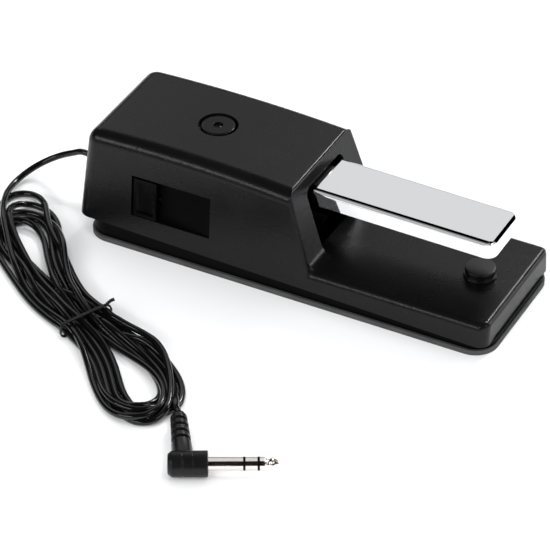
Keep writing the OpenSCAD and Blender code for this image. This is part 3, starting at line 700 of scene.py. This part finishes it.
def panel_frame():
    """Frame on the drafted near side: X along, Y into the wall, Z up the wall."""
    mid = 30.6
    return Matrix.Translation((0, -side_y(mid), mid)) @ spin(-DRAFT_ANGLE, "X")


def drill(obj, name, radius, low, high):
    """A hole at each of the six housing screws."""
    for centre in SCREWS:
        combine(obj, extruded(name, circle(radius, 32, centre), low, high))


def make_base():
    # tier under the seam, set back behind the housing
    middle = Matrix.Translation((TIER_X, 0, 0))
    cover = extruded("base_cover", rounded_rect(214.4, 72.4, 11), SOLE_TOP, 14, middle)
    far = 130
    wedge = [(-far, seam_z(-far)), (far, seam_z(far)), (far, 30), (-far, 30)]
    combine(cover, prism("wedge", wedge, lambda z: 60))
    inner = extruded("inner", rounded_rect(208, 67.4, 6), 4.7, 30, middle)
    combine(cover, inner)
    drill(cover, "sink", 3.1, 0, 4.75)
    soften(cover, 0.3, 40, 2)
    smooth(cover)
    finish_piece(cover, COVER, "base", "black_cover", "bottom_cover")
    # thin rubber sheet under it
    sole = extruded("sole_sheet", rounded_rect(*SOLE_SIZE, 12, 16), 0, SOLE_TOP, middle)
    drill(sole, "access", 3.6, -1, 4)
    soften(sole, 0.2, 40, 2)
    smooth(sole)
    finish_piece(sole, SOLE, "base", "sole_rubber", "rubber_sole")


def at_rest():
    """Tilts a level piece of the lever to its rest position."""
    return Matrix.Translation(PIVOT) @ Matrix.Rotation(REST_TILT, 4, "Y") @ Matrix.Translation(-PIVOT)


def turned(obj, matrix):
    """Moves the mesh by a matrix in millimetres."""
    obj.data.transform(Matrix.Diagonal((MM, MM, MM, 1)) @ matrix @ Matrix.Diagonal((1 / MM, 1 / MM, 1 / MM, 1)))


chromed = []  # what the room lights are for


def make_lever_cover():
    """Chromed cover of the lever: a hollow bar, open below, over two studs."""
    top, low, half, toe, rear = 51.5, 42.7, 15.2, 100, 6
    outline = [(rear, low), (rear, top), (toe, top), (toe, low)]
    body = prism("lever_cover", outline, lambda z: half)

    def radius_of(a, b):
        if a.z > top - 1 and b.z > top - 1:
            return 2 if a.x < rear + 1 and b.x < rear + 1 else 2.8
        if a.x > toe - 1 and b.x > toe - 1 and abs(a.z - b.z) > 1:
            return 5.5
        return 0

    round_edges(body, radius_of, 10)
    inner = [(0, 30), (0, top - 2), (toe - 2, top - 2), (toe - 2, 30)]
    cut = prism("inner", inner, lambda z: half - 1.8)
    round_edges(cut, lambda a, b: 3.5 if min(a.x, b.x) > 50 and abs(a.z - b.z) > 1 else 0, 6)
    combine(body, cut)
    for y in (-4.5, 4.5):
        combine(body, extruded("stud", circle(1.62, 24, (16, y)), 40, 50.9))
    soften(body, 0.3, 40, 3)
    finish_piece(body, CHROME, "pedal", "chrome_plate", "pedal_plate")
    chromed.append(body)
    darken(body, UNDERSIDE, lambda p: abs(p.y) < half - 1.7 and p.x < toe - 1.9 and p.z < top - 1.9)
    turned(body, at_rest())
    smooth(body)


def make_bumper():
    profile = [
        (0, 12.2), (2.98, 12.2), (2.98, TRAY_Z), (8, TRAY_Z), (8.05, 18.9), (7.1, 19.3), (7.1, 19.8),
        (7.45, 20.1), (7.45, 22.5), (0, 22.7),
    ]
    radii = [0, 0.3, 0, 0.3, 0.5, 0.3, 0.3, 0.2, 0.7, 0]
    body = lathe("stop_button", fillet(profile, radii), Matrix.Translation((87.5, 0, 0)), 80)
    smooth(body, 60)
    finish_piece(body, BUMPER, "base", "black_rubber", "pedal_bumper")


def make_cap():
    where = Matrix.Translation((CAP_X, 0, 0))
    profile = [
        (1.7, 55.3), (8.3, 55.3), (8.3, 59.2), (7.2, 59.4), (2.3, 59.4), (2.1, 57.4), (1.7, 57.3), (1.7, 55.3),
    ]
    body = lathe("cap_disc", fillet(profile, [0, 0.3, 0.5, 0.3, 0.2, 0, 0, 0]), where, 80)
    smooth(body, 60)
    finish_piece(body, GLOSS, "base", "black_gloss", "top_cap")
    profile = [(0, 50.2), (1.48, 50.5), (1.48, 57.32), (2, 57.35), (2, 58.3), (0, 58.85)]
    screw = lathe("cap_screw", fillet(profile, 0.25), where, 48)
    for angle in (45, 135):
        combine(screw, extruded("cross", rectangle(-1.5, -0.32, 1.5, 0.32), 57.9, 60, where @ spin(angle, "Z")))
    smooth(screw, 40)
    finish_piece(screw, DARK_STEEL, "base", "dark_steel", "top_cap_screw")


def make_knob():
    panel = panel_frame()
    left, right, face, back, half = -79.7, -67.3, -0.4, 3.2, 10.2
    body = extruded("mode_knob", rectangle(left, face, right, back), -half, half)
    # scooped face inside a rim
    n = 20
    hollow = []
    for k in range(n + 1):
        t = k / n
        x = left + 1.5 + (right - left - 2.6) * t
        depth = 1.55 * math.sin(math.pi * t ** 0.72) ** 0.6
        hollow.append((x, face + depth))
    cutter = [(hollow[0][0], -6)] + hollow + [(hollow[-1][0], -6)]
    combine(body, extruded("scoop", cutter, -half + 1.7, half - 1.9))
    combine(body, extruded("stem", rectangle(-76.5, back - 0.5, -70.5, 5.8), -2.5, 2.5), "UNION")
    turned(body, panel)
    # pocket in the stem for the switch's slider
    combine(body, extruded("pocket", rectangle(-74.95, -30.9, -72.05, -25), 29.35, 31.85))
    soften(body, 0.3, 35, 2)
    smooth(body)
    finish_piece(body, KNOB, "slide_knob", "black_shell", "switch_knob")


# ---- Cord, its tie and its plug ----


ELBOW = Matrix.Translation((32.7, -168.4, 6)) @ spin(27.8, "Z")


def plug_frame():
    """Frame of the plug, Z along its shaft."""
    return ELBOW @ spin(90, "Y")


def boot_frame():
    """Frame of the boot, Z from the elbow towards the cord."""
    return ELBOW @ Matrix.Translation((-11, 0, 0)) @ spin(94.7, "Z") @ spin(90, "Y")


def make_cord():
    points = settle(resample(route(), CORD_STEP), CORD_STEP)
    points[-1] = boot_frame() @ Vector((0, 0, 27))
    curve = bpy.data.curves.new("cord", "CURVE")
    curve.dimensions = "3D"
    curve.bevel_depth = CORD_D / 2 * MM
    curve.bevel_resolution = 6
    curve.use_fill_caps = True
    curve.resolution_u = 2
    spline = curve.splines.new("NURBS")
    spline.points.add(len(points) - 1)
    for target, p in zip(spline.points, points):
        target.co = (*(p * MM), 1)
    spline.order_u = 4
    spline.use_endpoint_u = True
    cord = place(curve, "cord")
    length = float(np.linalg.norm(np.diff(points, axis=0), axis=1).sum()) * MM
    return finish_piece(cord, JACKET, "base", "cord_jacket", "cord_lead", "cord_hank", "cord_tail"), length


def make_grommet():
    where = Matrix.Translation((-121, 0, CORD_Z)) @ spin(90, "Y")
    profile = [
        (1.62, 0), (2.35, 0), (3, 4.5), (4, 8.5), (5.5, 8.7), (5.5, 9.85), (3.97, 9.85), (3.97, 13.45),
        (5.5, 13.45), (5.5, 14.75), (1.62, 14.75), (1.62, 0),
    ]
    radii = [0, 0.4, 2, 0.6, 0.4, 0.1, 0, 0, 0.3, 0.3, 0, 0]
    body = lathe("strain_relief", fillet(profile, radii), where, 48)
    smooth(body, 50)
    finish_piece(body, BOOT, "base", "black_rubber", "cord_grommet")


def make_plug():
    where = plug_frame()
    # moulded elbow: barrel with seam rings, and the socket of the boot
    profile = [
        (0, -18.1), (4.6, -18.1), (6, -16.2), (6, -11.7), (5.82, -11.5), (5.82, -11.2), (6, -11.0), (6, -6.9),
        (5.9, -6.75), (5.9, -6.55), (6, -6.4), (6, -0.2), (5.2, 0), (0, 0),
    ]
    radii = [0, 1.2, 1.4, 0.1, 0, 0, 0.1, 0.1, 0, 0, 0.1, 0.7, 0, 0]
    body = lathe("plug_elbow", fillet(profile, radii), where, 72)
    neck = lathe("neck", [(0, 0), (4.85, 0), (4.72, 11), (0, 11)], boot_frame(), 64)
    combine(body, neck, "UNION")
    soften(body, 0.35, 50, 2)
    smooth(body, 45)
    elbow = finish_piece(body, BOOT, "base", "black_gloss", "plug_body")
    # ribbed boot, narrower towards the cord
    ribs, start, pitch = 5, 11.0, 4.6
    profile = [(1.62, start), (4.6, start)]
    for k in range(ribs):
        z, r = start + k * pitch, 4.62 - 0.17 * k
        profile += [(r, z + 0.2), (r, z + pitch * 0.62), (r - 1.3, z + pitch * 0.66), (r - 1.3, z + pitch)]
    profile += [(3.3, start + ribs * pitch), (1.62, start + ribs * pitch), (1.62, start)]
    boot = lathe("plug_boot_ribs", fillet(profile, 0.22, 3), boot_frame(), 64)
    smooth(boot, 45)
    boot = finish_piece(boot, BOOT, "base", "black_rubber", "plug_boot")
    # tip of the shaft, with its groove
    x = 23.0
    profile = [
        (0, x), (3.175, x), (3.175, x + 2.2), (2.05, x + 3.4), (2.05, x + 4.1), (2.95, x + 5.4),
        (2.7, x + 6.3), (1.2, x + 8.3), (0.4, x + 8.85), (0, x + 8.9),
    ]
    tip = lathe("jack_tip", fillet(profile, [0, 0, 0.3, 0.8, 0.8, 0.9, 1.2, 1.0, 0.3, 0], 5), where, 64)
    smooth(tip, 50)
    tip = finish_piece(tip, PLUG_METAL, "base", "chrome_plate", "plug_tip")
    return [elbow, boot, tip]


def make_tie():
    """Coated wire round the waist, with its two ends twisted together."""
    turn = Matrix.Translation((WAIST[0], WAIST[1], 0)) @ spin(HANK_TURN, "Z")
    wide, low, high, r = 13.9, 0.45, 7.3, 3.0
    corners = ((wide - r, high - r), (-wide + r, high - r), (-wide + r, low + r), (wide - r, low + r))
    loop = [(0, *q) for q in quarters(corners, r, 6)]
    curve = bpy.data.curves.new("wire_tie", "CURVE")
    curve.dimensions = "3D"
    curve.bevel_depth = 0.42 * MM
    curve.bevel_resolution = 4
    curve.use_fill_caps = True

    def add(points, cyclic):
        spline = curve.splines.new("NURBS")
        spline.points.add(len(points) - 1)
        for target, (x, y, z) in zip(spline.points, points):
            # slants over the bundle and bows towards the housing on top
            x -= 0.28 * y + 3 * max(0, 1 - (y / wide) ** 2) * min(z / high, 1)
            target.co = (*(turn @ Vector((x, y, z)) * MM), 1)
        spline.order_u = 4
        spline.use_endpoint_u = not cyclic
        spline.use_cyclic_u = cyclic

    for shift in (-0.45, 0.45):
        add([(x + shift, y, z) for x, y, z in loop], True)
    for phase in (0, math.pi):
        twist = []
        for k in range(25):
            t = k / 24
            run = 7.5 * t
            centre = Vector((0.6 + 1.2 * t, 11.2 + run * 0.5, 7.4 + 2.2 * math.sin(2.0 * t) + run * 0.18))
            turns = phase + 5 * math.pi * t
            centre += 0.5 * Vector((math.cos(turns), 0, math.sin(turns)))
            twist.append(tuple(centre))
        add(twist, False)
    tie = place(curve, "wire_tie")
    return finish_piece(tie, TIE, "base", "tie_coating", "hank_tie")


make_housing()
make_base()
make_lever_cover()
make_bumper()
make_cap()
make_knob()
cord, cord_length = make_cord()
make_grommet()
plug = make_plug()
tie = make_tie()
CORD_NODES = ["plug_sleeve", "plug_ring", "plug_insulators"]

# ---- Floor and light ----


def make_stage():
    mesh = bpy.data.meshes.new("floor")
    size = 6
    corners = [(x, y, 0) for x, y in rectangle(-size, -size, size, size)]
    mesh.from_pydata(corners, [], [(0, 1, 2, 3)])
    floor = place(mesh, "floor")
    material, nodes, links, principled = shader("floor_paint", (0.88, 0.88, 0.88), 0.8, Specular_IOR_Level=0.1)
    patches = noise(nodes, links, 3, 2)
    tint(nodes, links, patches, (0.87, 0.87, 0.87), (0.89, 0.89, 0.89), principled.inputs["Base Color"])
    floor.data.materials.append(material)
    world = bpy.data.worlds.new("world")
    bpy.context.scene.world = world
    world.use_nodes = True
    background = world.node_tree.nodes["Background"]
    background.inputs["Color"].default_value = (0.95, 0.97, 1, 1)
    background.inputs["Strength"].default_value = 0.45
    world.cycles_visibility.glossy = False
    bpy.context.scene.view_settings.view_transform = "Standard"


def softbox(name, direction, distance, width, height, radiance, mirrored=True):
    """A rectangular light that faces the object; its radiance is what a mirror would show."""
    data = bpy.data.lights.new(name, "AREA")
    data.shape = "RECTANGLE"
    data.size = width
    data.size_y = height
    data.energy = radiance * math.pi * width * height
    lamp = place(data, name)
    lamp.location = Vector(direction).normalized() * distance
    lamp.rotation_euler = lamp.location.to_track_quat("Z", "Y").to_euler()
    lamp.visible_glossy = mirrored
    return lamp


def link_light(name, objects, state, *lamps):
    """Keeps the lamps off the objects with EXCLUDE, or on them alone with INCLUDE."""
    group = bpy.data.collections.new(name)
    for body in objects:
        group.objects.link(body)
    for member in group.collection_objects:
        member.light_linking.link_state = state
    for lamp in lamps:
        lamp.light_linking.receiver_collection = group


make_stage()
softbox("back_light", (-0.371, 0.709, 0.6), 2.4, 2.8, 1.35, 0.78)
softbox("back_left_light", (-0.75, 0.55, 0.6), 2.3, 0.9, 1.2, 0.35)
link_light(
    "edge_lit", chromed, "EXCLUDE",
    softbox("edge_light", (0.08, 0.71, 0.7), 2.2, 0.6, 0.3, 40),
    softbox("end_light", (0.66, 0.7, 0.27), 2.2, 0.6, 0.3, 14),
    softbox("strip_light", (-0.37, -0.8, 0.46), 1.7, 1.6, 0.18, 12),
)
link_light(
    "plug_lit", [plug[2], *(frame["nodes"][n] for n in CORD_NODES)], "INCLUDE",
    softbox("plug_light", (-0.15, 0.1, 1), 2.4, 1.9, 1.9, 0.85),
    softbox("plug_fill", (-0.5, -1, 0.5), 2.4, 0.8, 0.8, 0.5),
)
link_light(
    "chrome_lit", chromed, "INCLUDE",
    softbox("room_front", (-0.2, -1, 0.45), 2.6, 4.6, 2.4, 0.5),
    softbox("room_right", (1, 0.05, 0.45), 2.6, 4.6, 2.4, 0.5),
    softbox("room_back", (-0.1, 1, 0.14), 2.6, 5, 0.9, 0.6),
    softbox("room_top", (0.1, -0.55, 1), 2.6, 4, 1.3, 0.22),
    softbox("room_left", (-1, -0.1, 0.45), 2.6, 3.4, 2.4, 0.5),
)
softbox("key_light", (0.75, -0.1, 0.65), 2.4, 1, 1, 3)
softbox("fill_light", (0.1, 0.1, 1), 2.4, 3.2, 3.2, 0.95, False)
softbox("front_fill", (-0.2, -1, 0.6), 2.6, 2.8, 1.4, 2.1, False)
